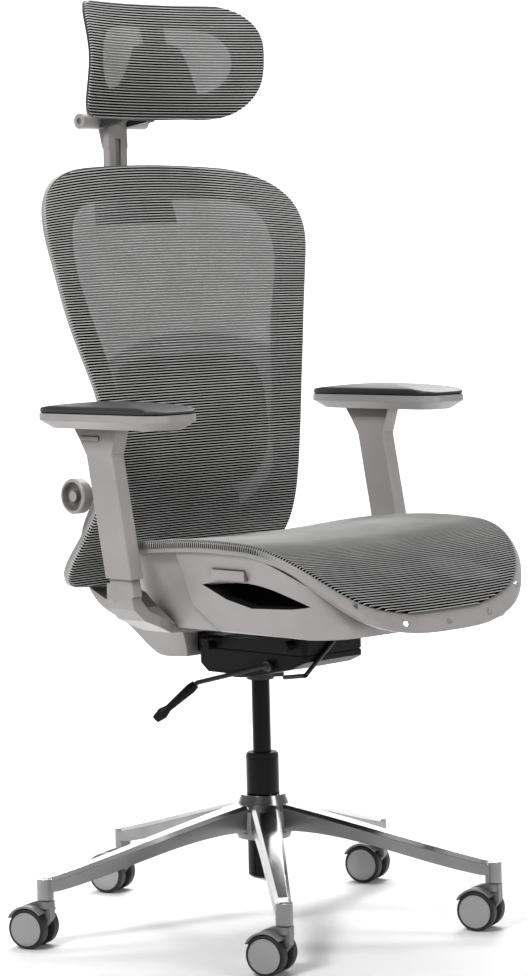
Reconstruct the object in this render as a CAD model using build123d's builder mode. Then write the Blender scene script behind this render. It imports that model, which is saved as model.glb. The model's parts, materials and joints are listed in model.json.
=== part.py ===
from build123d import *
import math
import os

# Office chair in millimetres: origin on the floor under the column, chair faces -Y, up is +Z.
# "near" is the sitter's right side (-X), "far" is the sitter's left side (+X).

# star base and castors
BASE_R = 350.0
ARM_ANGLES = [13.31, 85.31, 157.31, 229.31, 301.31]
WHEEL_R = 30.0
WHEEL_W = 19.0
WHEEL_GAP = 15.6
TRAIL = 21.0
TRAIL_ANGLE = 109.0
STEM_R = 5.5
AXLE_R = 4.0
FIT = 0.05
COS28 = math.cos(math.radians(28))
SIN28 = math.sin(math.radians(28))
COS46 = math.cos(math.radians(46))
SIN46 = math.sin(math.radians(46))
HUB_BOTTOM = 134.0
HUB_TOP = 200.0

# column
TUBE_R = 25.0
TUBE_BOTTOM = 73.0
TUBE_TOP = 256.0
ROD_R = 14.0
ROD_BOTTOM = 178.0
ROD_TOP = 428.0
PISTON_R = 5.0

# mechanism
MECH_W = 124.0
MECH_BACK = 69.0
MECH_FRONT = -156.0
MECH_LOW = 388.0
MECH_TOP = 452.0
LEVER_Y = -84.0
LEVER_Z = 407.0
TILT_Y = -128.0
TILT_Z = 440.0
BACK_Y = 36.0
BACK_Z = 430.0
PIN_R = 7.0
PLATE_Z = 458.0
PLATE_T = 5.0

# seat
SEAT_W = 500.0
SEAT_BACK = 92.0
SEAT_FRONT = -396.0
PAN_Z = 474.0

# arms
ARM_X = 286.0
ARM_LEAN = 11.0
POST_W = 46.0
POST_T = 18.0
SLEEVE_W = 55.0
SLEEVE_T = 25.0

# back
BACK_CONCAVE = 24.0
BACK_LINE = [
    (196, 1156), (170, 1118), (149, 1065), (138, 1010), (124, 925), (108, 855),
    (95, 795), (90, 750), (95, 690), (114, 630), (134, 594), (176, 540), (203, 502),
]
BACK_OUTLINE = [
    (0, 1152), (110, 1149), (205, 1134), (256, 1098), (269, 1052), (262, 1000), (247, 930),
    (231, 870), (214, 810), (204, 750), (202, 700), (209, 640), (217, 592), (217, 556), (202, 526),
    (150, 514), (0, 511),
]

BACK_OPENING = [
    (0, 1098), (140, 1096), (198, 1078), (218, 1030), (206, 950), (186, 880), (170, 800), (160, 730), (166, 670),
    (140, 636), (0, 632),
]
STEM_W = 40.0
STEM_T = 15.0
KNOB_Y = 222.0
KNOB_Z = 653.0

# seat shape
SEAT_DIP = 8.0
SIDE_X, SIDE_C, SIDE_S = 200.0, 0.9467, 0.3223
SEAT_LINE = [
    (118, 574), (92, 583), (50, 592), (-15, 600), (-80, 606), (-136, 608), (-190, 608), (-237, 604), (-285, 591),
    (-328, 563), (-358, 533), (-378, 503), (-388, 483), (-394, 468),
]
SEAT_OUTLINE = [
    (0, 92), (140, 90), (205, 70), (242, 20), (250, -60), (249, -215), (238, -285), (210, -338), (160, -372),
    (85, -386), (0, -388),
]
SEAT_MESH_OUTLINE = [
    (0, 90), (140, 88), (204, 68), (240, 20), (248, -60), (247, -213), (236, -281), (206, -331), (157, -362),
    (85, -374), (0, -376),
]
SEAT_SCREWS = [(-172, -362), (-90, -380.5), (0, -382.5), (90, -380.5), (172, -362)]

# arm pads
PAD_L = 264.0
PAD_W = 96.0
PAD_Y = -8.0

# headrest
PIVOT_Y = 298.0
PIVOT_Z = 1222.0
STEM_Y = 292.0


def save(part, name):
    part.label = name
    export_step(part, "parts/" + name + ".step")


def polar(radius, angle):
    a = math.radians(angle)
    return radius * math.cos(a), radius * math.sin(a)


# ---------------------------------------------------------------- base

def star_base():
    with BuildPart() as one_arm:
        with BuildSketch(Plane.XZ):
            with BuildLine():
                Spline((22, 189), (90, 172), (220, 137), (334, 107))
                Line((334, 107), (351, 104))
                Line((351, 104), (351, 84))
                Line((351, 84), (334, 84))
                Spline((334, 84), (220, 112), (100, 141), (22, 146))
                Line((22, 146), (22, 189))
            make_face()
        extrude(amount=30, both=True)
        with BuildSketch(Plane.XY.offset(60)):
            Polygon((20, -22), (351, -11.5), (351, 11.5), (20, 22), align=None)
        extrude(amount=160, mode=Mode.INTERSECT)
        top = one_arm.edges().filter_by(lambda e: e.center().Z > 95 and abs(e.center().Y) > 5)
        top = top.filter_by(lambda e: e.bounding_box().size.X > 150 and e.center().Z > 138)
        chamfer(top, 5.5)
        with BuildSketch(Plane.XY.offset(72)):
            with Locations((BASE_R, 0)):
                Circle(12.5)
        extrude(amount=31)
    with BuildPart() as base:
        with BuildSketch(Plane.XZ):
            with BuildLine():
                Polyline((0, HUB_BOTTOM), (40, HUB_BOTTOM), (43, 142), (41, 176), (37, 190))
                Polyline((37, 190), (34, HUB_TOP), (0, HUB_TOP), (0, HUB_BOTTOM))
            make_face()
        revolve(axis=Axis.Z)
        for a in ARM_ANGLES:
            add(one_arm.part.rotate(Axis.Z, a))
        with BuildSketch(Plane.XY.offset(HUB_BOTTOM - 1)):
            Circle(TUBE_R + 0.02)
        extrude(amount=80, mode=Mode.SUBTRACT)
        for a in ARM_ANGLES:
            with BuildSketch(Plane.XY.offset(71)):
                with Locations(polar(BASE_R, a)):
                    Circle(STEM_R + FIT)
            extrude(amount=27, mode=Mode.SUBTRACT)
    save(base.part, "star_base")


def castor(number, angle):
    cx, cy = polar(BASE_R, angle)
    place = Plane(origin=(cx, cy, 0), x_dir=(*polar(1, TRAIL_ANGLE), 0), z_dir=(0, 0, 1))
    side = Plane(origin=(0, 0, 0), x_dir=(1, 0, 0), z_dir=(0, -1, 0))
    half = WHEEL_GAP / 2
    with BuildPart() as hood:
        with BuildSketch(side):
            with Locations((TRAIL, WHEEL_R)):
                Circle(15)
            with BuildLine():
                Polyline((-11, 44), (-11, 70), (11, 70), (34, 62), (40, 40), (21, 20), (4, 26), (-11, 44))
            make_face()
        extrude(amount=half - 0.4, both=True)
        with BuildSketch(side):
            with BuildLine():
                CenterArc((TRAIL, WHEEL_R), 34.2, 28, 108)
                CenterArc((TRAIL, WHEEL_R), 31.4, 28, 108)
                Line((TRAIL + 31.4 * COS28, WHEEL_R + 31.4 * SIN28), (TRAIL + 34.2 * COS28, WHEEL_R + 34.2 * SIN28))
                Line((TRAIL - 31.4 * SIN46, WHEEL_R + 31.4 * COS46), (TRAIL - 34.2 * SIN46, WHEEL_R + 34.2 * COS46))
            make_face()
        extrude(amount=half + WHEEL_W - 2, both=True)
        with BuildSketch(Plane.XY.offset(59)):
            Circle(11)
        extrude(amount=11)
        with BuildSketch(Plane.XY.offset(43)):
            Circle(STEM_R + 0.01)
        extrude(amount=40, mode=Mode.SUBTRACT)
        with BuildSketch(side):
            with Locations((TRAIL, WHEEL_R)):
                Circle(AXLE_R + 0.01)
        extrude(amount=20, both=True, mode=Mode.SUBTRACT)
    with BuildPart() as pins:
        with BuildSketch(Plane.XY.offset(43)):
            Circle(STEM_R)
        extrude(amount=53)
        with BuildSketch(side):
            with Locations((TRAIL, WHEEL_R)):
                Circle(AXLE_R)
        extrude(amount=half + WHEEL_W - 4, both=True)
    with BuildPart() as wheel:
        with BuildSketch(Plane.XY):
            with BuildLine():
                Polyline((AXLE_R + FIT, half), (24, half), (28.5, half + 1.0), (WHEEL_R, half + 3))
                Polyline((WHEEL_R, half + 3), (WHEEL_R, half + 13.5), (29, half + 16), (26.5, half + 17))
                Polyline((26.5, half + 17), (26, half + 16.2), (25.2, half + 16.2), (24.8, half + 17.6))
                Polyline((24.8, half + 17.6), (23.4, half + 17.9), (23, half + 17.4))
                Polyline((23, half + 17.4), (15, half + 18.3), (7, half + 18.9), (4, half + WHEEL_W))
                Polyline((4, half + WHEEL_W), (0, half + WHEEL_W), (0, half + WHEEL_W - 3.5))
                Line((0, half + WHEEL_W - 3.5), (AXLE_R + FIT, half + WHEEL_W - 3.5))
                Line((AXLE_R + FIT, half + WHEEL_W - 3.5), (AXLE_R + FIT, half))
            make_face()
        revolve(axis=Axis.Y)
    left = wheel.part.moved(Location((TRAIL, 0, WHEEL_R)))
    right = wheel.part.rotate(Axis.Z, 180).moved(Location((TRAIL, 0, WHEEL_R)))
    name = "castor_" + str(number)
    save(place.location * hood.part, name + "_hood")
    save(place.location * pins.part, name + "_pins")
    save(place.location * left, name + "_wheel_left")
    save(place.location * right, name + "_wheel_right")


# ---------------------------------------------------------------- column

def column():
    with BuildPart() as tube:
        with BuildSketch(Plane.XZ):
            with BuildLine():
                Polyline((PISTON_R + 0.02, TUBE_BOTTOM), (21, TUBE_BOTTOM), (TUBE_R, 77), (TUBE_R, TUBE_TOP))
                Polyline((TUBE_R, TUBE_TOP), (22.5, TUBE_TOP), (22.5, 80), (PISTON_R + 0.02, 80))
                Line((PISTON_R + 0.02, 80), (PISTON_R + 0.02, TUBE_BOTTOM))
            make_face()
        revolve(axis=Axis.Z)
    with BuildPart() as bush:
        with BuildSketch(Plane.XZ):
            with BuildLine():
                Polyline((ROD_R + FIT, 206), (22.46, 206), (22.46, TUBE_TOP), (24.6, TUBE_TOP), (24.6, 260))
                Polyline((24.6, 260), (22, 263), (ROD_R + FIT, 263), (ROD_R + FIT, 206))
            make_face()
        revolve(axis=Axis.Z)
    with BuildPart() as rod:
        with BuildSketch(Plane.XZ):
            with BuildLine():
                Polyline((PISTON_R + FIT, ROD_BOTTOM), (ROD_R - 1, ROD_BOTTOM), (ROD_R, ROD_BOTTOM + 1))
                Polyline((ROD_R, ROD_BOTTOM + 1), (ROD_R, 372), (12.6, ROD_TOP - 2), (11, ROD_TOP), (0, ROD_TOP))
                Polyline((0, ROD_TOP), (0, ROD_TOP - 18), (PISTON_R + 2, ROD_TOP - 18), (PISTON_R + 2, 190))
                Polyline((PISTON_R + 2, 190), (PISTON_R + FIT, 190), (PISTON_R + FIT, ROD_BOTTOM))
            make_face()
        revolve(axis=Axis.Z)
    with BuildPart() as piston:
        with BuildSketch(Plane.XY.offset(66)):
            Circle(PISTON_R)
        extrude(amount=250)
        with BuildSketch(Plane.XY.offset(300)):
            Circle(PISTON_R + 1.9)
        extrude(amount=10)
    with BuildPart() as clip:
        with BuildSketch(Plane.XY.offset(68.9)):
            Circle(11)
            Circle(PISTON_R + 0.02, mode=Mode.SUBTRACT)
        extrude(amount=4)
    save(tube.part, "column_tube")
    save(bush.part, "column_bush")
    save(rod.part, "gas_spring")
    save(piston.part, "gas_piston")
    save(clip.part, "column_clip")


# ---------------------------------------------------------------- mechanism

def mechanism():
    with BuildPart() as box:
        with BuildSketch(Plane.YZ):
            with BuildLine():
                Polyline((MECH_FRONT, 416), (MECH_FRONT, MECH_TOP), (TILT_Y, MECH_TOP), (MECH_BACK, MECH_TOP - 16))
                Polyline((MECH_BACK, MECH_TOP - 16), (MECH_BACK, 404), (48, MECH_LOW), (-50, MECH_LOW))
                Polyline((-50, MECH_LOW), (-128, 404), (MECH_FRONT, 416))
            make_face()
        extrude(amount=MECH_W / 2, both=True)
        fillet(box.edges().filter_by(Axis.Z), 8)
        with BuildSketch(Plane.XY.offset(MECH_TOP)):
            with Locations((0, -50)):
                Rectangle(MECH_W - 10, 196)
        extrude(amount=-34, mode=Mode.SUBTRACT)
        with BuildSketch(Plane.XY.offset(MECH_LOW)):
            Circle(20)
        extrude(amount=44)
        # rear slot for the swinging link
        with BuildSketch(Plane.XY.offset(396)):
            with Locations((0, 50)):
                Rectangle(92, 58)
        extrude(amount=60, mode=Mode.SUBTRACT)
        with BuildSketch(Plane.XZ):
            with BuildLine():
                Polyline((0, 370), (ROD_R + FIT, 372), (12.6 + FIT, ROD_TOP - 2), (11 + FIT, ROD_TOP + 0.05))
                Polyline((11 + FIT, ROD_TOP + 0.05), (0, ROD_TOP + 0.05), (0, 370))
            make_face()
        revolve(axis=Axis.Z, mode=Mode.SUBTRACT)
        with BuildSketch(Plane.YZ.offset(-100)):
            with Locations((TILT_Y, TILT_Z), (BACK_Y, BACK_Z)):
                Circle(PIN_R + 0.01)
        extrude(amount=200, mode=Mode.SUBTRACT)
        with BuildSketch(Plane.YZ.offset(-80)):
            with Locations((LEVER_Y, LEVER_Z)):
                Circle(5 + FIT)
        extrude(amount=50, mode=Mode.SUBTRACT)
        # groove round the moulding
        with BuildSketch(Plane.XY.offset(424)):
            with Locations((0, (MECH_BACK + MECH_FRONT) / 2)):
                Rectangle(MECH_W + 10, MECH_BACK - MECH_FRONT + 10)
                RectangleRounded(MECH_W - 3, MECH_BACK - MECH_FRONT - 3, 7, mode=Mode.SUBTRACT)
        extrude(amount=2.5, mode=Mode.SUBTRACT)
    save(box.part, "mech_housing")
    with BuildPart() as collar:
        with BuildSketch(Plane.XY.offset(374)):
            Circle(21)
        extrude(amount=MECH_LOW - 374)
        with BuildSketch(Plane.XY.offset(378)):
            Circle(24)
            with Locations((-19, 19)):
                Circle(15)
            with Locations((-9, 9)):
                Rectangle(28, 30, rotation=-45)
            with Locations((16, -16)):
                Rectangle(26, 30, rotation=-45)
        extrude(amount=8)
        with BuildSketch(Plane.XY.offset(370)):
            Circle(ROD_R + 0.3)
        extrude(amount=30, mode=Mode.SUBTRACT)
    save(collar.part, "mech_collar")
    with BuildPart() as bar:
        with BuildLine():
            Polyline((-4, MECH_FRONT - 3.5, 444), (-66, MECH_FRONT - 3.5, 398), (-66, MECH_FRONT + 40, 392))
        with BuildSketch(Plane(origin=(-4, MECH_FRONT - 3.5, 444), z_dir=(-62, 0, -46))):
            Circle(3.4)
        sweep(transition=Transition.ROUND)
    save(bar.part - box.part, "link_bar")


def levers():
    # height lever: steel rod turning in the housing's right wall, then a moulded grip
    turn = Vector(-72, LEVER_Y, LEVER_Z)
    elbow = Vector(-118, 14, 380)
    tip = Vector(-160, 62, 326)
    with BuildPart() as lever:
        with BuildSketch(Plane.YZ.offset(-72)):
            with Locations((LEVER_Y, LEVER_Z)):
                Circle(5)
        extrude(amount=36)
        with BuildSketch(Plane.YZ.offset(-72)):
            with Locations((LEVER_Y, LEVER_Z)):
                Circle(8)
        extrude(amount=6)
        aim = (elbow - turn).normalized()
        with BuildSketch(Plane(origin=turn, z_dir=aim)):
            Circle(3.6)
        extrude(amount=(elbow - turn).length)
        with Locations(elbow, turn):
            Sphere(3.6)
        down = (tip - elbow).normalized()
        with BuildSketch(Plane(origin=elbow, z_dir=down)):
            Circle(3.6)
        extrude(amount=20)
    with BuildPart() as grip:
        for a, b, ra, rb in ((4, 14, 6.5, 8), (14, 58, 8, 5.4), (58, 70, 5.4, 9), (70, 84, 9, 6)):
            with BuildSketch(Plane(origin=elbow + down * a, z_dir=down)):
                Circle(ra)
            with BuildSketch(Plane(origin=elbow + down * b, z_dir=down)):
                Circle(rb)
            loft()
    save(lever.part, "height_lever")
    save(grip.part - lever.part, "height_grip")


# ---------------------------------------------------------------- curved sheets

def back_skin(extra=0.0):
    # the front surface of the back: a side line carried across, centre set back
    rows = []
    for y, z in BACK_LINE:
        across = (-1, -0.5, 0, 0.5, 1)
        rows.append([Vector(x * 290, y + extra + BACK_CONCAVE * (1 - x * x), z) for x in across])
    return Face.make_surface_from_array_of_points(rows, tol=0.5)


def slab(skin, amount):
    with BuildPart() as sheet:
        thicken(skin, amount=amount)
    return sheet.part


def skin_height(line, y):
    # height of a side line at y, between its points
    for (ya, za), (yb, zb) in zip(line, line[1:]):
        if yb <= y <= ya:
            return za + (zb - za) * (y - ya) / (yb - ya)
    return line[-1][1]


def inset_line(outline, d):
    # a half outline moved inwards by d, its ends kept on the middle
    n = len(outline)
    out = []
    for i, (x, z) in enumerate(outline):
        ax, az = outline[i - 1] if i else (-outline[1][0], outline[1][1])
        bx, bz = outline[i + 1] if i < n - 1 else (-outline[-2][0], outline[-2][1])
        tx, tz = bx - ax, bz - az
        s = math.hypot(tx, tz)
        out.append((x + d * tz / s if 0 < i < n - 1 else 0, z - d * tx / s))
    return out


def prism(outline, tangents, plane, reach):
    # a symmetrical closed outline from its half, extruded both ways
    with BuildPart() as block:
        with BuildSketch(plane):
            with BuildLine():
                Spline(*outline, tangents=tangents)
                mirror(about=Plane.YZ)
            make_face()
        extrude(amount=reach, both=True)
    return block.part


def box_at(x0, x1, y0, y1, z0, z1):
    with BuildPart() as block:
        with BuildSketch(Plane.XY.offset(z0)):
            with Locations(((x0 + x1) / 2, (y0 + y1) / 2)):
                Rectangle(x1 - x0, y1 - y0)
        extrude(amount=z1 - z0)
    return block.part


# ---------------------------------------------------------------- back

def back():
    skin = back_skin()
    ends = ((1, 0), (-1, 0))
    outer = prism(BACK_OUTLINE, ends, Plane.XZ, 400)
    hole = prism(BACK_OPENING, ends, Plane.XZ, 400)
    core = prism(inset_line(BACK_OUTLINE, 9), ends, Plane.XZ, 400)
    frame = ((slab(skin, -7) & outer) + (slab(skin, -18) & core)) - hole
    boss = box_at(-33, 33, 175, STEM_Y + 14, 1062, 1132) - slab(skin, -17.99) - slab(skin, 60)
    slot = box_at(-STEM_W / 2 - FIT, STEM_W / 2 + FIT, STEM_Y - STEM_T / 2 - FIT, STEM_Y + STEM_T / 2 + FIT,
                  1050, 1140)
    frame = frame + (boss - slot)
    save(frame, "back_frame")
    mesh = slab(skin, 2.5) & prism(inset_line(BACK_OUTLINE, 2.0), ends, Plane.XZ, 400)
    save(mesh, "back_mesh")
    with BuildPart() as yoke:
        with BuildSketch(Plane.YZ):
            with BuildLine():
                Line((88, 452), (88, 408))
                Spline((88, 408), (154, 409), (196, 440), (227, 480), (243, 530), (249, 590), (241, 650),
                       (232, 706), tangents=((1, -0.05), (-0.2, 1)))
                Line((232, 706), (196, 706))
                Line((196, 706), (150, 640))
                Line((150, 640), (150, 560))
                Line((150, 560), (200, 541))
                Spline((200, 541), (190, 508), (164, 472), (130, 454), (88, 452))
            make_face()
        extrude(amount=140, both=True)
    outline = [(0, 716), (50, 706), (84, 690), (104, 655), (126, 610), (134, 560), (128, 510), (106, 474),
               (78, 450), (66, 400), (0, 392)]
    body = yoke.part & prism(outline, ends, Plane.XZ, 400)
    body = body - slab(skin, -18.01) - slab(skin, 60)
    with BuildPart() as holes:
        with BuildSketch(Plane.XZ.offset(-150)):
            with Locations((-45, 684), (45, 684)):
                Circle(5 + FIT)
        extrude(amount=-150)
        with BuildSketch(Plane.YZ.offset(-140)):
            with Locations((KNOB_Y, KNOB_Z)):
                Circle(6 + FIT)
        extrude(amount=90)
    body = body - holes.part
    pocket = box_at(-44, 44, 80, 140, 414, 446)
    body = body - pocket
    save(body, "back_yoke")
    with BuildPart() as link:
        with BuildSketch(Plane.YZ):
            with BuildLine():
                Polyline((25, 434), (27, 421), (50, 415), (140, 414.02), (140, 445.98), (44, 441), (34, 441), (25, 434))
            make_face()
        extrude(amount=43.98, both=True)
        with BuildSketch(Plane.YZ.offset(-60)):
            with Locations((BACK_Y, BACK_Z)):
                Circle(PIN_R + FIT)
        extrude(amount=120, mode=Mode.SUBTRACT)
    save(link.part, "yoke_link")
    line = [(y + 14, z) for y, z in BACK_LINE]
    rows = []
    for y, z in line:
        rows.append([Vector(x * 290, y + BACK_CONCAVE * (1 - x * x), z) for x in (-1, -0.5, 0, 0.5, 1)])
    pad_skin = Face.make_surface_from_array_of_points(rows, tol=0.5)
    pad_line = [(0, 862), (90, 860), (140, 842), (150, 790), (146, 700), (120, 664), (60, 656), (0, 655)]
    pad = slab(pad_skin, -9) & prism(pad_line, ends, Plane.XZ, 400)
    with BuildPart() as rods:
        with BuildSketch(Plane.XZ.offset(-138)):
            with Locations((-45, 684), (45, 684)):
                Circle(5)
        extrude(amount=-112)
    rods_cut = rods.part - slab(pad_skin, -4) - slab(pad_skin, 60)
    save(pad + rods_cut, "lumbar_pad")
    with BuildPart() as knob:
        with BuildSketch(Plane.XY):
            with BuildLine():
                Polyline((0, -62), (6, -62), (6, -132), (11, -134), (12, -148), (24, -150), (27, -154))
                Polyline((27, -154), (27, -170), (25, -172), (22, -172), (20.5, -162), (9, -162), (8, -170))
                Polyline((8, -170), (0, -171), (0, -62))
            make_face()
        revolve(axis=Axis.Y)
    turned = Plane(origin=(0, KNOB_Y, KNOB_Z), x_dir=(0, 1, 0), z_dir=(0, 0, 1)).location * knob.part
    turned = turned if turned.bounding_box().min.X < -100 else turned.mirror(Plane.YZ)
    save(turned, "lumbar_knob")


# ---------------------------------------------------------------- headrest

def headrest():
    with BuildPart() as stem:
        with BuildSketch(Plane.XY.offset(1072)):
            with Locations((0, STEM_Y)):
                RectangleRounded(STEM_W, STEM_T, 3)
        extrude(amount=112)
        with BuildSketch(Plane.YZ):
            with BuildLine():
                Polyline((STEM_Y - 7.5, 1180), (STEM_Y + 7.5, 1180), (PIVOT_Y + 12, PIVOT_Z - 2))
                Polyline((PIVOT_Y + 12, PIVOT_Z - 2), (PIVOT_Y - 12, PIVOT_Z), (STEM_Y - 7.5, 1180))
            make_face()
        extrude(amount=STEM_W / 2, both=True)
        with BuildSketch(Plane.XZ.offset(-STEM_Y + 8)):
            with Locations((0, 1160)):
                Rectangle(11, 70)
        extrude(amount=-4, mode=Mode.SUBTRACT)
        with BuildSketch(Plane.YZ.offset(-STEM_W / 2)):
            with Locations((PIVOT_Y, PIVOT_Z)):
                Circle(13)
        extrude(amount=STEM_W)
        with BuildSketch(Plane.YZ.offset(-60)):
            with Locations((PIVOT_Y, PIVOT_Z)):
                Circle(5 + FIT)
        extrude(amount=120, mode=Mode.SUBTRACT)
    save(stem.part, "headrest_stem")
    head_line = [(244, 1410), (212, 1382), (195, 1348), (190, 1308), (196, 1272), (214, 1236), (236, 1212)]
    rows = []
    for y, z in head_line:
        rows.append([Vector(x * 192, y - 55 * x * x, z) for x in (-1, -0.5, 0, 0.5, 1)])
    skin = Face.make_surface_from_array_of_points(rows, tol=0.5)
    ends = ((1, 0), (-1, 0))
    outline = [(0, 1398), (100, 1398), (156, 1389), (176, 1363), (180, 1312), (175, 1262), (154, 1232),
               (90, 1222), (0, 1221)]
    outer = prism(outline, ends, Plane.XZ, 400)
    window = [(0, 1360), (80, 1359), (118, 1349), (134, 1330), (139, 1309), (134, 1287), (116, 1268),
              (76, 1259), (0, 1258)]
    inner = prism(window, ends, Plane.XZ, 400)
    with BuildPart() as brace:
        with BuildSketch(Plane.XZ):
            with BuildLine():
                Polyline((-20, 1410), (-20, 1336), (-44, 1330), (-84, 1256), (-84, 1230), (84, 1230), (84, 1256))
                Polyline((84, 1256), (44, 1330), (20, 1336), (20, 1410), (-20, 1410))
            make_face()
        extrude(amount=400, both=True)
    core = prism(inset_line(outline, 7), ends, Plane.XZ, 400)
    frame = ((slab(skin, -3.5) & outer) + (slab(skin, -9) & core)) - (inner - brace.part)
    with BuildPart() as ears:
        with BuildSketch(Plane.YZ.offset(20.05)):
            with BuildLine():
                Polyline((PIVOT_Y + 2, PIVOT_Z - 11), (PIVOT_Y + 6, PIVOT_Z + 11), (PIVOT_Y - 40, 1272))
                Polyline((PIVOT_Y - 40, 1272), (190, 1276), (190, 1226), (PIVOT_Y + 2, PIVOT_Z - 11))
            make_face()
        extrude(amount=14)
        with BuildSketch(Plane.YZ.offset(20.05)):
            with Locations((PIVOT_Y, PIVOT_Z)):
                Circle(12)
        extrude(amount=48)
        mirror(about=Plane.YZ)
        with BuildSketch(Plane.YZ.offset(-70)):
            with Locations((PIVOT_Y, PIVOT_Z)):
                Circle(5.01)
        extrude(amount=140, mode=Mode.SUBTRACT)
    frame = frame + (ears.part - slab(skin, -8.9) - slab(skin, 60))
    save(frame, "headrest_frame")
    with BuildPart() as pin:
        with BuildSketch(Plane.YZ.offset(-66)):
            with Locations((PIVOT_Y, PIVOT_Z)):
                Circle(5)
        extrude(amount=132)
    save(pin.part, "headrest_pin")
    mesh = slab(skin, 2.5) & prism(inset_line(outline, 1.0), ends, Plane.XZ, 400)
    save(mesh, "headrest_mesh")


# ---------------------------------------------------------------- seat

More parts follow.
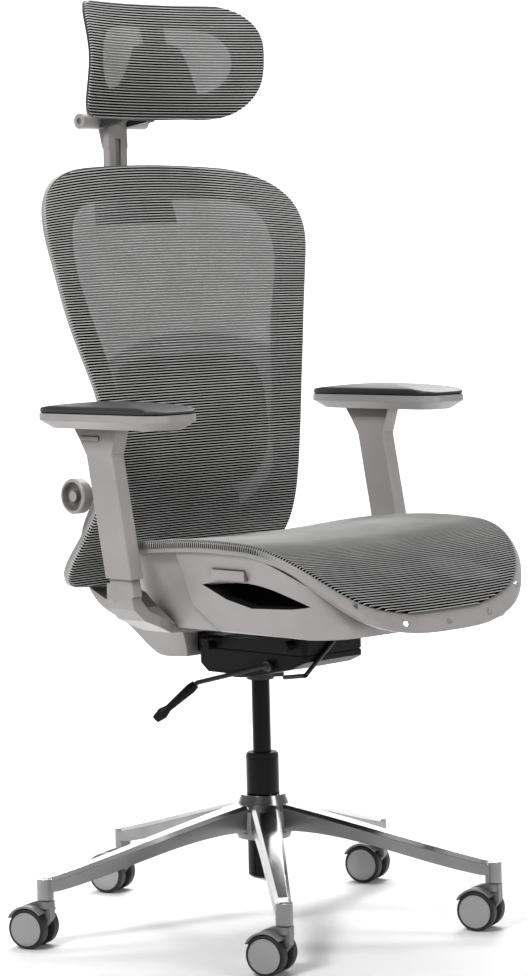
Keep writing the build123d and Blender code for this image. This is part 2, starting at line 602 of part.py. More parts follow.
def seat():
    rows = []
    for y, z in SEAT_LINE:
        rows.append([Vector(x * 258, y, z - SEAT_DIP * (1 - x * x)) for x in (-1, -0.5, 0, 0.5, 1)])
    skin = Face.make_surface_from_array_of_points(rows, tol=0.5)
    if skin.normal_at().Z < 0:
        skin = -skin
    ends = ((1, 0), (-1, 0))
    outer = prism(SEAT_OUTLINE, ends, Plane.XY.offset(550), 160)
    inner = prism(inset_line(SEAT_OUTLINE, 24), ends, Plane.XY.offset(550), 160)
    with BuildPart() as below:
        # the front edge rises towards both corners
        with BuildSketch(Plane.XZ.offset(240)):
            with BuildLine():
                Spline((-266, 606), (-240, 578), (-210, 540), (-160, 500), (-85, 478), (0, 474), (85, 478),
                       (160, 500), (210, 540), (240, 578), (266, 606))
                Polyline((266, 606), (266, 400), (-266, 400), (-266, 606))
            make_face()
        extrude(amount=200)
    rim = ((slab(skin, -15) & outer) - inner) - below.part
    mesh = slab(skin, 2.5) & prism(SEAT_MESH_OUTLINE, ends, Plane.XY.offset(550), 160)
    save(mesh, "seat_mesh")
    with BuildPart() as pan:
        with BuildSketch(Plane.XY.offset(PAN_Z)):
            with Locations((0, -140)):
                RectangleRounded(400, 400, 60)
        with BuildSketch(Plane.XY.offset(612)):
            with Locations((0, -138)):
                RectangleRounded(494, 444, 96)
        loft()
        # shelf raised behind, clear of the arm brackets
        with BuildSketch(Plane.YZ):
            with BuildLine():
                Polyline((-40, 470), (18, 524), (120, 530), (120, 470), (-40, 470))
            make_face()
        extrude(amount=300, both=True, mode=Mode.SUBTRACT)
    with BuildPart() as hollow:
        with BuildSketch(Plane.XY.offset(PAN_Z - 1)):
            with Locations((0, -140)):
                RectangleRounded(384, 384, 54)
        with BuildSketch(Plane.XY.offset(620)):
            with Locations((0, -138)):
                RectangleRounded(482, 432, 90)
        loft()
        with BuildSketch(Plane.YZ):
            with BuildLine():
                Polyline((-420, 480), (-44, 480), (14, 534), (120, 540), (120, 640), (-420, 640), (-420, 480))
            make_face()
        extrude(amount=300, both=True, mode=Mode.INTERSECT)
    with BuildPart() as above:
        with BuildSketch(Plane.YZ):
            with BuildLine():
                Spline(*[(y, z + 1) for y, z in SEAT_LINE])
                Polyline((SEAT_LINE[-1][0], SEAT_LINE[-1][1] + 1), (SEAT_LINE[-1][0], 680), (SEAT_LINE[0][0], 680))
                Line((SEAT_LINE[0][0], 680), (SEAT_LINE[0][0], SEAT_LINE[0][1] + 1))
            make_face()
        extrude(amount=300, both=True)
    with BuildPart() as lens:
        # sight openings that narrow inwards
        for side in (-1, 1):
            with BuildSketch(Plane.YZ.offset(side * 262)):
                with BuildLine():
                    ThreePointArc((-96, 548), (-226, 558), (-366, 512))
                    Polyline((-366, 512), (-207, 504), (-158, 516), (-96, 548))
                make_face()
            extrude(amount=-side * 60, taper=14)
        with BuildSketch(Plane.YZ):
            with Locations((-183, 562)):
                Rectangle(66.2, 14.2)
        extrude(amount=-300)
    with BuildPart() as thick:
        with BuildSketch(Plane.XY.offset(PAN_Z)):
            with Locations((0, -140)):
                RectangleRounded(414, 404, 62)
        with BuildSketch(Plane.XY.offset(612)):
            with Locations((0, -138)):
                RectangleRounded(508, 446, 97)
        loft()
        # chamfered outline, measured forward and down from the top of the side
        with BuildSketch(Plane(origin=(-SIDE_X - 7.5 * SIDE_C, 0, 474 - 7.5 * SIDE_S), x_dir=(0, -1, 0),
                               z_dir=(SIDE_C, 0, SIDE_S))):
            Polygon((78, -150), (85, -98), (87, -44), (130, -6), (440, -6), (440, -150), align=None)
        extrude(amount=90, taper=-42, mode=Mode.INTERSECT)
    panels = thick.part + thick.part.mirror(Plane.YZ)
    outside = (pan.part + panels) - hollow.part
    shell = outside - above.part - slab(skin, -15) - lens.part
    keep = shell.solids().sort_by(SortBy.VOLUME)[-1]
    save(Part() + keep, "seat_pan")
    save(rim, "seat_rim")
    with BuildPart() as button:
        with BuildSketch(Plane.YZ.offset(-212)):
            with Locations((-183, 562)):
                Rectangle(66, 14)
        extrude(amount=-31)
    save(button.part, "seat_button")
    with BuildPart() as plate:
        with BuildSketch(Plane.XY.offset(PLATE_Z)):
            with Locations((0, -110)):
                RectangleRounded(170, 290, 12)
            with Locations((0, -1)):
                Rectangle(236, 52)
        extrude(amount=PLATE_T)
        with BuildSketch(Plane.XY.offset(PLATE_Z + PLATE_T)):
            with Locations((-60, -150), (60, -150)):
                Rectangle(20, 180)
        extrude(amount=PAN_Z - PLATE_Z - PLATE_T - 0.05)
        with BuildSketch(Plane.YZ.offset(-56)):
            with BuildLine():
                Polyline((TILT_Y - 12, PLATE_Z), (TILT_Y - 12, TILT_Z), (TILT_Y, TILT_Z - 12))
                Polyline((TILT_Y, TILT_Z - 12), (TILT_Y + 12, TILT_Z), (TILT_Y + 12, PLATE_Z), (TILT_Y - 12, PLATE_Z))
            make_face()
        extrude(amount=8)
        mirror(about=Plane.YZ)
        with BuildSketch(Plane.YZ.offset(-80)):
            with Locations((TILT_Y, TILT_Z)):
                Circle(PIN_R + FIT)
        extrude(amount=160, mode=Mode.SUBTRACT)
    save(plate.part, "seat_plate")
    with BuildPart() as screws:
        for x, y in SEAT_SCREWS:
            foot = skin_height(SEAT_LINE, y) - SEAT_DIP * (1 - (x / 258) ** 2)
            out = Vector(x * 0.9, y + 130, 60).normalized()
            with BuildSketch(Plane(origin=Vector(x, y, foot) - out * 3, z_dir=out)):
                Circle(4)
            extrude(amount=4.6)
    head = screws.part - slab(skin, -30) - mesh - rim
    save(head, "seat_screws")


# ---------------------------------------------------------------- arms

def arms():
    lean = math.radians(ARM_LEAN)
    for side, name in ((-1, "near"), (1, "far")):
        axis = Plane(origin=(side * ARM_X, -15.5, 552), x_dir=(1, 0, 0), z_dir=(0, math.sin(lean), math.cos(lean)))
        with BuildPart() as post:
            with BuildSketch(axis.offset(-30)):
                RectangleRounded(POST_T, POST_W, 2)
            extrude(amount=150)
        with BuildPart() as foot:
            with BuildSketch(Plane.XZ):
                with BuildLine():
                    Polyline((277, 545), (277, 522), (262, 504), (205, 479), (150, 470.5), (60, 470), (60, 463.02))
                    Polyline((60, 463.02), (150, 463.02), (212, 467), (270, 490), (291, 508), (295, 522), (295, 545))
                    Line((295, 545), (277, 545))
                make_face()
            extrude(amount=120, both=True)
            with BuildSketch(Plane.XY.offset(440)):
                Polygon((300, -40), (300, 12), (230, 26), (60, 24), (60, -26), (205, -30), (240, -40), align=None)
            extrude(amount=140, mode=Mode.INTERSECT)
        leg = foot.part if side > 0 else foot.part.mirror(Plane.YZ)
        bracket = post.part + leg
        save(bracket, "arm_" + name + "_bracket")
        inner = side * (ARM_X - SLEEVE_T / 2)
        with BuildPart() as sleeve:
            with BuildSketch(Plane.YZ.offset(side * ARM_X - SLEEVE_T / 2)):
                with BuildLine():
                    Polyline((-43, 552), (12, 552), (47, 732), (58, 750), (71, 768), (-20, 768), (-8, 731), (-43, 552))
                make_face()
            extrude(amount=SLEEVE_T)
            fillet(sleeve.edges().filter_by(lambda e: e.length > 150), 2.5)
            with BuildSketch(axis.offset(-10)):
                RectangleRounded(POST_T + 2 * FIT, POST_W + 2 * FIT, 2)
            extrude(amount=190, mode=Mode.SUBTRACT)
            with BuildSketch(Plane.XY.offset(768)):
                with Locations((side * ARM_X, 25)):
                    Rectangle(20, 70)
            extrude(amount=8)
            outer = side * (ARM_X + SLEEVE_T / 2)
            with BuildSketch(Plane.YZ.offset(outer)):
                with Locations((36, 753)):
                    Rectangle(38, 6)
            extrude(amount=-side * 5, mode=Mode.SUBTRACT)
        save(sleeve.part, "arm_" + name + "_sleeve")
        with BuildPart() as trigger:
            with BuildSketch(Plane.YZ.offset(outer - side * 4.0)):
                with Locations((36, 753)):
                    Rectangle(37.9, 5.9)
            extrude(amount=side * 6)
        save(trigger.part, "arm_" + name + "_trigger")
        with BuildPart() as base:
            with BuildSketch(Plane.XY.offset(768.05)):
                with Locations((side * ARM_X, PAD_Y)):
                    RectangleRounded(PAD_W - 30, PAD_L - 30, 26)
            with BuildSketch(Plane.XY.offset(780)):
                with Locations((side * ARM_X, PAD_Y)):
                    RectangleRounded(PAD_W, PAD_L, 30)
            loft()
            with BuildSketch(Plane.XY.offset(780)):
                with Locations((side * ARM_X, PAD_Y)):
                    RectangleRounded(PAD_W, PAD_L, 30)
            extrude(amount=10)
            with BuildSketch(Plane.XY.offset(768)):
                with Locations((side * ARM_X, 35)):
                    Rectangle(20 + 2 * FIT, 136)
            extrude(amount=8.05, mode=Mode.SUBTRACT)
        save(base.part, "arm_" + name + "_pad_base")
        with BuildPart() as pad:
            with BuildSketch(Plane.XY.offset(790)):
                with Locations((side * ARM_X, PAD_Y)):
                    RectangleRounded(PAD_W - 2, PAD_L - 2, 29)
            extrude(amount=17)
            with BuildSketch(Plane.YZ):
                with BuildLine():
                    ThreePointArc((PAD_Y - 140, 793.5), (PAD_Y + 4, 806.8), (PAD_Y + 140, 795))
                    Polyline((PAD_Y + 140, 795), (PAD_Y + 140, 770), (PAD_Y - 140, 770), (PAD_Y - 140, 793.5))
                make_face()
            extrude(amount=400, both=True, mode=Mode.INTERSECT)
            with BuildSketch(Plane.XZ):
                with BuildLine():
                    ThreePointArc((side * ARM_X - 52, 799), (side * ARM_X, 806.9), (side * ARM_X + 52, 799))
                    Polyline((side * ARM_X + 52, 799), (side * ARM_X + 52, 770), (side * ARM_X - 52, 770),
                             (side * ARM_X - 52, 799))
                make_face()
            extrude(amount=400, both=True, mode=Mode.INTERSECT)
        save(pad.part, "arm_" + name + "_pad")


def shafts():
    for y, z, half, name in ((TILT_Y, TILT_Z, 78, "tilt_shaft"), (BACK_Y, BACK_Z, 78, "back_shaft")):
        with BuildPart() as pin:
            with BuildSketch(Plane.YZ.offset(-half)):
                with Locations((y, z)):
                    Circle(PIN_R)
            extrude(amount=2 * half)
        save(pin.part, name)


os.makedirs("parts", exist_ok=True)
star_base()
for i, arm_angle in enumerate(ARM_ANGLES):
    castor(i + 1, arm_angle)
column()
mechanism()
levers()
shafts()
back()
headrest()
seat()
arms()
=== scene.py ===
import bpy  # noqa: E402
import json  # noqa: E402
import math  # noqa: E402
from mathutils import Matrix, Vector  # noqa: E402
from mathutils.bvhtree import BVHTree  # noqa: E402


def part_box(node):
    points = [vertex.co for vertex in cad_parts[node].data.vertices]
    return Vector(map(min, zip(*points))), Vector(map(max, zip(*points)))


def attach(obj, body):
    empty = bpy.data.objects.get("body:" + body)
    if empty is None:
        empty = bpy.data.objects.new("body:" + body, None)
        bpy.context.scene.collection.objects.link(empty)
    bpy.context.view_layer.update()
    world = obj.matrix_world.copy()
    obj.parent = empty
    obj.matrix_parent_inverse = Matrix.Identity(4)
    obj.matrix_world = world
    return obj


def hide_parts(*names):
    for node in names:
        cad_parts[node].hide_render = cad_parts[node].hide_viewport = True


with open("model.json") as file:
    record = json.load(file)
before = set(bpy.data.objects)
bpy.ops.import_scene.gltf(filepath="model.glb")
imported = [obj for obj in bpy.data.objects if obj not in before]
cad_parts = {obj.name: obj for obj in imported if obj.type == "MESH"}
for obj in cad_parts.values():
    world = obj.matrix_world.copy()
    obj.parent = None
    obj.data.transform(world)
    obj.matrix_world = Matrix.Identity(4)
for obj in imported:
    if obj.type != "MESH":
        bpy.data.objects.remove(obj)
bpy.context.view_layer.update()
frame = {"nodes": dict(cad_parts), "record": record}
NODES = frame["nodes"]

# ------------------------------------------------------------------ materials


def new_material(name):
    m = bpy.data.materials.new(name)
    m.use_nodes = True
    return m, m.node_tree.nodes, m.node_tree.links, m.node_tree.nodes["Principled BSDF"]


def surface(name, colour, rough, metallic=0.0, vary=0.06, grain=900.0, bump=0.05, coat=0.0,
            patch=14.0, edge=0.0012, shine=0.5, crevice_shade=0.0):
    """A moulded or cast finish: softened edges, fine grain, slow variation in colour and roughness, and painted
    shade that darkens its colour in crevices and under lips, from an ambient occlusion node.
    """
    m, nodes, links, shader = new_material(name)
    shader.inputs["Metallic"].default_value = metallic
    shader.inputs["Specular IOR Level"].default_value = shine
    shader.inputs["Coat Weight"].default_value = coat
    shader.inputs["Coat Roughness"].default_value = 0.06
    where = nodes.new("ShaderNodeTexCoord")
    slow = nodes.new("ShaderNodeTexNoise")
    slow.inputs["Scale"].default_value = patch
    slow.inputs["Detail"].default_value = 4.0
    links.new(where.outputs["Object"], slow.inputs["Vector"])
    ramp = nodes.new("ShaderNodeValToRGB")
    ramp.color_ramp.elements[0].position = 0.3
    ramp.color_ramp.elements[1].position = 0.7
    ramp.color_ramp.elements[0].color = [c * (1 - vary) for c in colour] + [1]
    ramp.color_ramp.elements[1].color = [min(1, c * (1 + vary)) for c in colour] + [1]
    links.new(slow.outputs["Fac"], ramp.inputs["Fac"])
    # painted shade: an ambient occlusion node darkens the base colour in crevices and under lips
    if crevice_shade:
        near = nodes.new("ShaderNodeAmbientOcclusion")
        near.samples = 6
        near.inputs["Distance"].default_value = 0.022
        depth = nodes.new("ShaderNodeMapRange")
        depth.inputs["From Min"].default_value = 0.35
        depth.inputs["From Max"].default_value = 0.95
        depth.inputs["To Min"].default_value = 1.0 - crevice_shade
        depth.inputs["To Max"].default_value = 1.0
        shade = nodes.new("ShaderNodeVectorMath")
        shade.operation = "SCALE"
        links.new(near.outputs["AO"], depth.inputs["Value"])
        links.new(ramp.outputs["Color"], shade.inputs[0])
        links.new(depth.outputs["Result"], shade.inputs["Scale"])
        links.new(shade.outputs["Vector"], shader.inputs["Base Color"])
    else:
        links.new(ramp.outputs["Color"], shader.inputs["Base Color"])
    level = nodes.new("ShaderNodeMapRange")
    level.inputs["To Min"].default_value = max(0.02, rough - 0.04)
    level.inputs["To Max"].default_value = min(1.0, rough + 0.04)
    links.new(slow.outputs["Fac"], level.inputs["Value"])
    links.new(level.outputs["Result"], shader.inputs["Roughness"])
    fine = nodes.new("ShaderNodeTexNoise")
    fine.inputs["Scale"].default_value = grain
    fine.inputs["Detail"].default_value = 2.0
    links.new(where.outputs["Object"], fine.inputs["Vector"])
    lift = nodes.new("ShaderNodeBump")
    lift.inputs["Strength"].default_value = bump
    lift.inputs["Distance"].default_value = 0.0005
    links.new(fine.outputs["Fac"], lift.inputs["Height"])
    if edge:
        soft = nodes.new("ShaderNodeBevel")
        soft.samples = 4
        soft.inputs["Radius"].default_value = edge
        links.new(soft.outputs["Normal"], lift.inputs["Normal"])
    links.new(lift.outputs["Normal"], shader.inputs["Normal"])
    return m


# the grey mouldings, the castor grey and the satin aluminium carry painted shade in their crevices, from the ambient
# occlusion darkening
GREY = surface("grey_moulding", (0.365, 0.347, 0.340), 0.36, bump=0.12, crevice_shade=0.75)
GREY_DARK = surface("castor_grey", (0.20, 0.20, 0.20), 0.42, bump=0.1, crevice_shade=0.5)
DISC = surface("castor_disc", (0.33, 0.33, 0.33), 0.36, bump=0.08)
BLACK = surface("black_moulding", (0.008, 0.008, 0.008), 0.42, bump=0.15, vary=0.2, shine=0.16)
DARK = surface("dark_moulding", (0.020, 0.020, 0.020), 0.5, bump=0.15)
DIM = surface("frame_face", (0.06, 0.06, 0.06), 0.5, bump=0.15)
GLOSS = surface("black_gloss_paint", (0.003, 0.003, 0.003), 0.16, vary=0.2, bump=0.01, shine=0.14)
BROWN = surface("black_coated_steel", (0.020, 0.016, 0.013), 0.36, bump=0.1, vary=0.2)
STEEL = surface("bright_steel", (0.62, 0.62, 0.62), 0.25, metallic=1.0, bump=0.02, edge=0.0004)
POLISHED = surface("polished_aluminium", (0.80, 0.80, 0.81), 0.12, metallic=1.0, vary=0.04, bump=0.02,
                   grain=350.0)
# satin aluminium for the star's sides: the satin finish is real, its dark colour is painted shade against the
# polished top
SHADED_SATIN = surface("satin_aluminium_painted_shade", (0.27, 0.27, 0.272), 0.24, metallic=1.0, vary=0.22, bump=0.05,
                grain=500.0, patch=9.0, crevice_shade=0.5)
TYRE = surface("soft_tread", (0.012, 0.012, 0.012), 0.55, bump=0.2, vary=0.2)
PAD = surface("soft_polyurethane", (0.026, 0.026, 0.027), 0.46, bump=0.5, grain=1400.0, vary=0.12, edge=0.0)
RIB = surface("mesh_rib", (0.66, 0.66, 0.64), 0.75, bump=0.4, grain=2600.0, vary=0.1, edge=0.0, shine=0.2)

SEAT_RIB = surface("seat_rib", (0.42, 0.42, 0.41), 0.75, bump=0.4, grain=2600.0, vary=0.1, edge=0.0, shine=0.2)

def sheer(name, colour, cover, below=None):
    """Fine dark threads that let part of the light through: under a curved line, where below is given, the sheet is
    painted denser, as painted shade where the lumbar pad sits behind.
    """
    m, nodes, links, shader = new_material(name)
    shader.inputs["Roughness"].default_value = 0.9
    shader.inputs["Specular IOR Level"].default_value = 0.04
    shader.inputs["Alpha"].default_value = cover
    where = nodes.new("ShaderNodeTexCoord")
    threads = nodes.new("ShaderNodeTexNoise")
    threads.inputs["Scale"].default_value = 1500.0
    links.new(where.outputs["Object"], threads.inputs["Vector"])
    tone = nodes.new("ShaderNodeValToRGB")
    tone.color_ramp.elements[0].color = [c * 0.5 for c in colour] + [1]
    tone.color_ramp.elements[1].color = [c * 1.6 for c in colour] + [1]
    links.new(threads.outputs["Fac"], tone.inputs["Fac"])
    links.new(tone.outputs["Color"], shader.inputs["Base Color"])
    if below is not None:
        split = nodes.new("ShaderNodeSeparateXYZ")
        links.new(where.outputs["Object"], split.inputs["Vector"])
        across = nodes.new("ShaderNodeMath")
        across.operation = "POWER"
        across.inputs[1].default_value = 2.0
        side = nodes.new("ShaderNodeMath")
        side.operation = "ABSOLUTE"
        links.new(split.outputs["X"], side.inputs[0])
        links.new(side.outputs["Value"], across.inputs[0])
        line = nodes.new("ShaderNodeMath")
        line.operation = "MULTIPLY_ADD"
        line.inputs[1].default_value = 1.1
        links.new(across.outputs["Value"], line.inputs[0])
        links.new(split.outputs["Z"], line.inputs[2])
        zone = nodes.new("ShaderNodeMapRange")
        zone.inputs["From Min"].default_value = below + 0.009
        zone.inputs["From Max"].default_value = below + 0.014
        zone.inputs["To Min"].default_value = 0.97
        zone.inputs["To Max"].default_value = cover
        links.new(line.outputs["Value"], zone.inputs["Value"])
        links.new(zone.outputs["Result"], shader.inputs["Alpha"])
    return m


SHADE_TOP = 0.885
SHEER = sheer("sheer_web", (0.005, 0.005, 0.005), 0.92)
DENSE = sheer("dense_web", (0.004, 0.004, 0.004), 0.97)
# the back's web is painted denser under a curved line near SHADE_TOP: painted shade where the lumbar pad sits behind
BACK_WEB = sheer("back_web", (0.005, 0.005, 0.005), 0.92, SHADE_TOP)

# ------------------------------------------------------------------ mesh helpers


def add_mesh(name, verts, faces, material, smooth=True):
    data = bpy.data.meshes.new(name)
    data.from_pydata([tuple(v) for v in verts], [], faces)
    data.validate()
    data.update()
    o = bpy.data.objects.new(name, data)
    bpy.context.scene.collection.objects.link(o)
    data.materials.append(material)
    if smooth:
        for p in data.polygons:
            p.use_smooth = True
    return o


def body_of(node):
    return next(b for b, members in frame["record"]["behaviour"]["bodies"].items() if node in members)


def dress(node, material):
    """The CAD piece itself, in its own finish."""
    o = NODES[node]
    o.data.materials.clear()
    o.data.materials.append(material)


def painted(node, materials, rule):
    """A copy that stands for a CAD piece, with a finish for each face from its middle and its direction."""
    source = NODES[node]
    o = bpy.data.objects.new(node + "_look", source.data.copy())
    bpy.context.scene.collection.objects.link(o)
    o.matrix_world = source.matrix_world
    o.data.materials.clear()
    for m in materials:
        o.data.materials.append(m)
    for p in o.data.polygons:
        p.material_index = rule(o.matrix_world @ p.center, o.matrix_world.to_3x3() @ p.normal)
    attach(o, body_of(node))
    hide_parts(node)
    return o


def tree_of(node):
    o = NODES[node]
    verts = [o.matrix_world @ v.co for v in o.data.vertices]
    return BVHTree.FromPolygons(verts, [tuple(p.vertices) for p in o.data.polygons])


def edge_hit(tree, inside, outside, aim):
    """The last hit between a point whose ray meets the surface and one whose ray doesn't."""
    last = tree.ray_cast(inside, aim)[0]
    for _ in range(10):
        middle = (inside + outside) / 2
        hit = tree.ray_cast(middle, aim)[0]
        if hit:
            inside, last = middle, hit
        else:
            outside = middle
    return last


def rib_line(tree, centre, across, reach, aim, count, drop):
    """One rib: points on the surface from edge to edge, evenly spread. It arches, so that its ends drop."""

    def on_line(s):
        return centre + across * s - Vector((0, 0, drop * s * s))

    if not tree.ray_cast(centre, aim)[0]:
        return None
    ends = []
    for sign in (-1, 1):
        inside = outside = centre
        for k in range(1, 61):
            outside = on_line(sign * reach * k / 60)
            if not tree.ray_cast(outside, aim)[0]:
                break
            inside = outside
        ends.append(edge_hit(tree, inside, outside, aim).dot(across))
    low, high = ends
    middle = centre.dot(across)
    points = []
    for k in range(count + 1):
        s = low + (high - low) * (0.0005 + 0.999 * k / count)
        hit = tree.ray_cast(on_line(s - middle), aim)[0]
        if hit:
            points.append(hit)
    return points if len(points) == count + 1 else None


def tube_along(points, outs, tall, proud, sides=5):
    """A rib as a flattened tube, tall along the panel and proud of it, closed at both ends."""
    verts, faces = [], []
    count = len(points)
    for i, p in enumerate(points):
        along = (points[min(i + 1, count - 1)] - points[max(i - 1, 0)]).normalized()
        up = along.cross(outs[i]).normalized()
        for k in range(sides):
            a = 2 * math.pi * k / sides
            verts.append(p + up * (tall * math.cos(a)) + outs[i] * (proud * math.sin(a)))
    for i in range(count - 1):
        for k in range(sides):
            a, b = i * sides + k, i * sides + (k + 1) % sides
            faces.append((a, b, b + sides, a + sides))
    faces.append(tuple(reversed(range(sides))))
    faces.append(tuple(range((count - 1) * sides, count * sides)))
    return verts, faces


def web(name, node, body, starts, across, reach, aim, count, wrap, tall, proud, cover, thread,
        arch=None):
    """A stretched ribbed web over a CAD sheet: one rib for each start, and a sheer dark sheet between them."""
    tree = tree_of(node)
    rib_verts, rib_faces, sheet_rows = [], [], []
    for s in starts:
        line = rib_line(tree, s, across, reach, aim, count, arch(s) if arch else 0.0)
        if not line:
            continue
        normals = []
        for p in line:
            n = tree.find_nearest(p)[1]
            normals.append(n if n.dot(aim) < 0 else -n)
        full = [p + n * 0.0003 for p, n in zip(line, normals)]
        n0, n1 = normals[0], normals[-1]
        out0 = (full[0] - full[1]).normalized()
        out1 = (full[-1] - full[-2]).normalized()
        shape = ((1.0, 1.0), (1.0, 0.45), (0.7, 0.1))
        first = [full[0] + out0 * (wrap[0] * c) - n0 * (wrap[1] * d) for c, d in shape]
        last = [full[-1] + out1 * (wrap[0] * c) - n1 * (wrap[1] * d) for c, d in reversed(shape)]
        path = first + full + last
        outs = [out0, out0, (out0 + n0).normalized()] + normals + [(out1 + n1).normalized(), out1, out1]
        verts, faces = tube_along(path, outs, tall, proud)
        base = len(rib_verts)
        rib_verts.extend(verts)
        rib_faces.extend([tuple(i + base for i in f) for f in faces])
        sheet_rows.append([p - n * 0.0008 for p, n in zip(path, outs)])
    ribs = add_mesh(name + "_ribs", rib_verts, rib_faces, thread)
    width = len(sheet_rows[0])
    verts = [p for r in sheet_rows for p in r]
    faces = []
    for i in range(len(sheet_rows) - 1):
        for k in range(width - 1):
            a = i * width + k
            faces.append((a, a + 1, a + width + 1, a + width))
    sheet = add_mesh(name + "_sheer", verts, faces, cover)
    for o in (ribs, sheet):
        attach(o, body)
    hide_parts(node)


# ------------------------------------------------------------------ finishes

PLAN = {
    GLOSS: ["column_tube", "gas_spring"],
    BLACK: ["column_bush", "mech_housing", "yoke_link", "lumbar_pad", "height_grip", "seat_plate", "tilt_shaft",
            "back_shaft"],
    STEEL: ["column_clip", "gas_piston", "headrest_pin", "seat_screws"],
    BROWN: ["mech_collar", "link_bar", "height_lever"],
    GREY: ["back_yoke", "lumbar_knob", "headrest_stem", "seat_rim", "seat_button"],
}
for side in ("near", "far"):
    PLAN[GREY] += [f"arm_{side}_{part}" for part in ("bracket", "sleeve", "trigger", "pad_base")]
for n in range(1, 6):
    PLAN.setdefault(GREY_DARK, []).append(f"castor_{n}_hood")
    PLAN[STEEL].append(f"castor_{n}_pins")
for material, members in PLAN.items():
    for member in members:
        dress(member, material)

# frames: dark faces under the webs, grey mouldings outside
painted("back_frame", (GREY, DIM), lambda c, n: 1 if n.y < -0.45 else 0)
low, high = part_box("headrest_pin")
PIVOT_ZONE = 0.014  # the frame is grey round its pivot
pivot = (low + high) / 2
painted("headrest_frame", (GREY, DARK),
        lambda c, n: 0 if math.hypot(c.y - pivot.y, c.z - pivot.z) < PIVOT_ZONE else 1)
# seat pan: grey outside, dark inside
low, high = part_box("seat_pan")
pan = (low + high) / 2
painted("seat_pan", (GREY, BLACK),
        lambda c, n: 1 if (Vector((c.x - pan.x, c.y - pan.y, 0)).dot(n) < -0.02 or n.z > 0.7) else 0)
# the star: polished on top, satin down its sides; the sides' dark colour is painted shade, which leaves the top
# lighter
painted("star_base", (POLISHED, SHADED_SATIN), lambda c, n: 0 if n.z > 0.4 else 1)
# castor wheels: grey discs in dark tyres, about the wheel's own axle
for n in range(1, 6):
    for side in ("left", "right"):
        node = f"castor_{n}_wheel_{side}"
        low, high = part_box(node)
        hub = (low + high) / 2
        other_low, other_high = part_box(f"castor_{n}_wheel_" + ("right" if side == "left" else "left"))
        axle = (hub - (other_low + other_high) / 2).normalized()

        def disc(c, n, hub=hub, axle=axle):
            away = c - hub
            return 1 if (away - axle * away.dot(axle)).length < 0.0249 and n.dot(axle) > 0.3 else 0

        painted(node, (TYRE, DISC), disc)

# ------------------------------------------------------------------ arm pads


def soft_pad(node):
    """The pad's moulded skin: the CAD solid remade with rounded edges."""
    source = NODES[node]
    o = bpy.data.objects.new(node + "_skin", source.data.copy())
    bpy.context.scene.collection.objects.link(o)
    o.matrix_world = source.matrix_world
    o.data.materials.clear()
    o.data.materials.append(PAD)
    bpy.context.view_layer.objects.active = o
    grid = o.modifiers.new("grid", "REMESH")
    grid.mode = "VOXEL"
    grid.voxel_size = 0.0022
    ease = o.modifiers.new("ease", "SMOOTH")
    ease.factor = 0.5
    ease.iterations = 6
    graph = bpy.context.evaluated_depsgraph_get()
    shaped = bpy.data.meshes.new_from_object(o.evaluated_get(graph))
    o.modifiers.clear()
    o.data = shaped
    for p in o.data.polygons:
        p.use_smooth = True
    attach(o, body_of(node))
    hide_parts(node)
    return o


for side in ("near", "far"):
    soft_pad(f"arm_{side}_pad")

# ------------------------------------------------------------------ webs

WEB_PITCH = 0.0041  # from rib to rib
RIB_TALL, RIB_PROUD = 0.00078, 0.0008


def rows(low, high):
    """Where the ribs of an upright web start, from its top down."""
    count = int((high.z - low.z) / WEB_PITCH) + 1
    return [Vector((0, -0.3, high.z - 0.001 - WEB_PITCH * k)) for k in range(count)]


low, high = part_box("back_mesh")
starts = rows(low, high)
web("back", "back_mesh", "back", starts, Vector((1, 0, 0)), 0.30, Vector((0, 1, 0)), 48, (0.0024, 0.006),
    RIB_TALL, RIB_PROUD, BACK_WEB, RIB,
    arch=lambda s: 0.30 * max(0.0, 1 - (high.z - s.z) / 0.25) ** 1.5)

low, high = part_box("seat_mesh")
tree = tree_of("seat_mesh")
WALK_STEP = 0.0001
walk, starts, last = low.y + 0.0008, [], None
while walk < high.y - 0.001:
    hit = tree.ray_cast(Vector((0, walk, 1.0)), Vector((0, 0, -1)))[0]
    if hit and (last is None or (hit - last).length >= WEB_PITCH):
        starts.append(Vector((0, walk, 1.0)))
        last = hit
    walk += WALK_STEP
web("seat", "seat_mesh", "seat", starts, Vector((1, 0, 0)), 0.30, Vector((0, 0, -1)), 44, (0.0030, 0.011),
    RIB_TALL, RIB_PROUD, DENSE, SEAT_RIB)

low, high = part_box("headrest_mesh")
starts = rows(low, high)
web("headrest", "headrest_mesh", "headrest", starts, Vector((1, 0, 0)), 0.22, Vector((0, 1, 0)), 40,
    (0.0014, 0.0035), RIB_TALL, RIB_PROUD, SHEER, RIB)

# ------------------------------------------------------------------ stage, light and camera



def pale(name):
    return surface(name, (0.93, 0.93, 0.93), 0.8, vary=0.01, grain=300.0, bump=0.02, patch=0.7, edge=0.0)


FLOOR = 30
corners = [(-FLOOR, -FLOOR, 0), (FLOOR, -FLOOR, 0), (FLOOR, FLOOR, 0), (-FLOOR, FLOOR, 0)]
floor = add_mesh("floor", corners, [(0, 1, 2, 3)], pale("pale_floor"), False)

# a backdrop across the view: it leaves the floor, curves up and goes on as a wall
DIAGONAL, HALF_WIDTH, START, BEND, TOP, STEPS = 0.7071, 12, 3.0, 2.0, 9.0, 24
profile = []
for k in range(STEPS + 1):
    turn = math.pi / 2 * k / STEPS
    profile.append((START + BEND * math.sin(turn), -0.001 + BEND * (1 - math.cos(turn))))
profile.append((START + BEND, TOP))
verts = [(DIAGONAL * out + DIAGONAL * along, DIAGONAL * out - DIAGONAL * along, rise)
         for out, rise in profile for along in (-HALF_WIDTH, HALF_WIDTH)]
faces = [(2 * k, 2 * k + 1, 2 * k + 3, 2 * k + 2) for k in range(len(profile) - 1)]
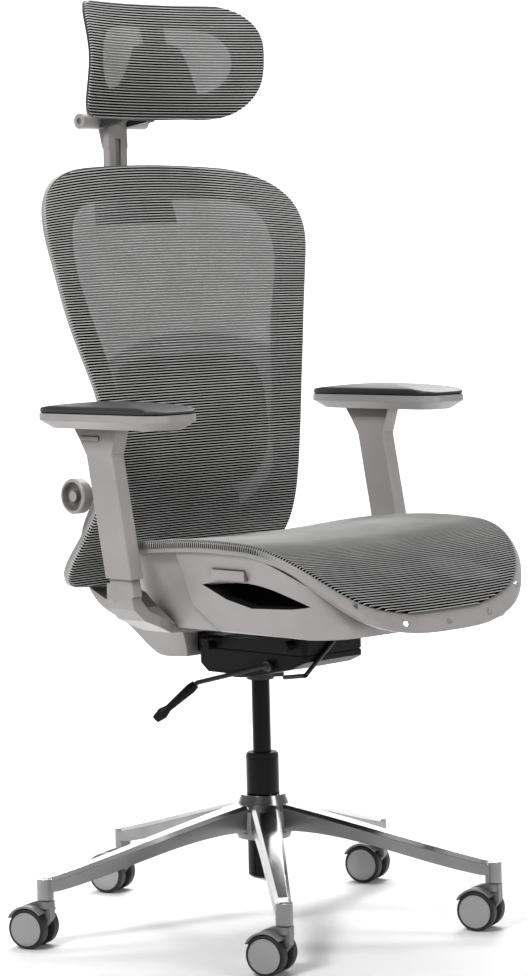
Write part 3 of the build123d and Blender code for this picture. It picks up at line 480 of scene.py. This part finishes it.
# the backdrop has one side only, so that a camera behind it sees the chair
wall = pale("pale_backdrop")
nodes, links = wall.node_tree.nodes, wall.node_tree.links
side_seen = nodes.new("ShaderNodeNewGeometry")
clear = nodes.new("ShaderNodeBsdfTransparent")
one_sided = nodes.new("ShaderNodeMixShader")
links.new(side_seen.outputs["Backfacing"], one_sided.inputs["Fac"])
links.new(nodes["Principled BSDF"].outputs["BSDF"], one_sided.inputs[1])
links.new(clear.outputs["BSDF"], one_sided.inputs[2])
links.new(one_sided.outputs["Shader"], nodes["Material Output"].inputs["Surface"])
backdrop = add_mesh("backdrop", verts, faces, wall)
if backdrop.data.polygons[0].normal.z < 0:
    backdrop.data.flip_normals()

world = bpy.data.worlds.new("studio")
bpy.context.scene.world = world
world.use_nodes = True
sky, links = world.node_tree.nodes, world.node_tree.links
sky["Background"].inputs["Color"].default_value = (1, 1, 1, 1)
where = sky.new("ShaderNodeTexCoord")
toward = sky.new("ShaderNodeVectorMath")
toward.operation = "DOT_PRODUCT"
toward.inputs[1].default_value = (-0.66, -0.66, -0.36)
links.new(where.outputs["Generated"], toward.inputs[0])
level = sky.new("ShaderNodeMapRange")
level.interpolation_type = "SMOOTHSTEP"
level.inputs["From Min"].default_value = -0.2
level.inputs["From Max"].default_value = 0.6
level.inputs["To Min"].default_value = 0.34
level.inputs["To Max"].default_value = 0.11
links.new(toward.outputs["Value"], level.inputs["Value"])
links.new(level.outputs["Result"], sky["Background"].inputs["Strength"])


def soft_light(name, place, aim, size, power):
    data = bpy.data.lights.new(name, "AREA")
    data.size = size
    data.energy = power
    o = bpy.data.objects.new(name, data)
    o.location = place
    o.rotation_euler = (Vector(aim) - Vector(place)).to_track_quat("-Z", "Y").to_euler()
    bpy.context.scene.collection.objects.link(o)
    return o


soft_light("key", (-3.0, -0.6, 3.4), (0, 0, 0.7), 1.0, 104)
soft_light("fill", (0.6, -3.8, 1.2), (0, 0, 0.6), 0.9, 26)
soft_light("rim", (2.4, 1.2, 2.6), (0, 0, 0.8), 0.8, 30)
soft_light("backdrop_wash", (1.2, 1.2, 4.5), (4.0, 4.0, 0.8), 3.0, 300)

CAMERA_AT = (-3.3662, -3.3824, 1.023)
PITCH, ROLL, YAW = math.radians(4.33), math.radians(1.36), math.radians(45.0)
camera_data = bpy.data.cameras.new("camera")
camera_data.lens = 117.6
camera_data.sensor_width = 36.0
camera_data.clip_end = 200.0
camera = bpy.data.objects.new("camera", camera_data)
bpy.context.scene.collection.objects.link(camera)
right = Vector((math.cos(YAW), -math.sin(YAW), 0))
ahead = Vector((math.sin(YAW) * math.cos(PITCH), math.cos(YAW) * math.cos(PITCH), -math.sin(PITCH)))
up = right.cross(ahead)
image_right = right * math.cos(ROLL) - up * math.sin(ROLL)
image_up = up * math.cos(ROLL) + right * math.sin(ROLL)
turn = bpy.data.objects.new("unused", None).matrix_world.to_3x3()
for k, axis in enumerate((image_right, image_up, -ahead)):
    for row in range(3):
        turn[row][k] = axis[row]
camera.rotation_mode = "QUATERNION"
camera.rotation_quaternion = turn.to_quaternion()
camera.location = CAMERA_AT
bpy.context.scene.camera = camera
bpy.context.scene.view_settings.view_transform = "Standard"
